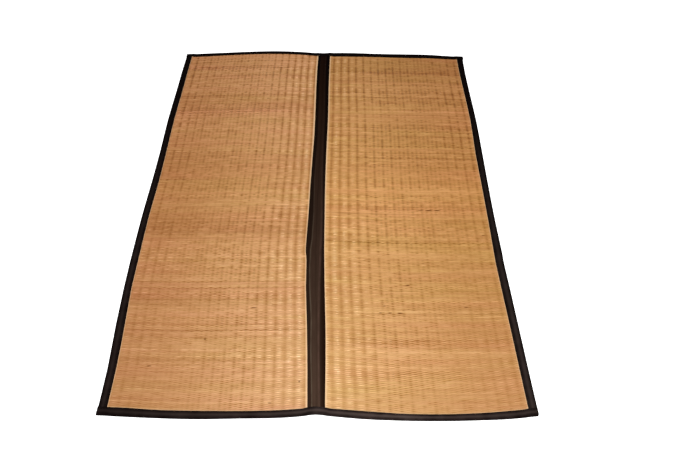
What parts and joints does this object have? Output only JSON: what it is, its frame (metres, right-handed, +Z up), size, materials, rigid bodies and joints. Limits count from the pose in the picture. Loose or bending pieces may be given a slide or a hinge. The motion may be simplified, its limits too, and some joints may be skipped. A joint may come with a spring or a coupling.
{
  "type": "folding woven grass floor mat with cloth binding",
  "caption": "Woven grass floor mat in two ribbed panels, joined by a dark cloth hinge strip and bound all round with dark cloth tape, lying open.",
  "frame": {"origin": "middle of the mat's outline, on the floor it lies on", "axes": "+X across both panels to the right, +Y along the ribs and the hinge strip, +Z up"},
  "size_m": [1.2368, 1.8708, 0.0086],
  "materials": {
    "grass_left": "satin",
    "grass_right": "satin",
    "hinge_cloth": "matte",
    "tape_cloth": "matte"
  },
  "bodies": {
    "root": {"panel_left": "grass_left", "panel_right": "grass_right", "centre_strip": "hinge_cloth", "side_tape_left": "tape_cloth", "side_tape_right": "tape_cloth", "end_tape_near": "tape_cloth", "end_tape_far": "tape_cloth"}
  },
  "joints": []
}
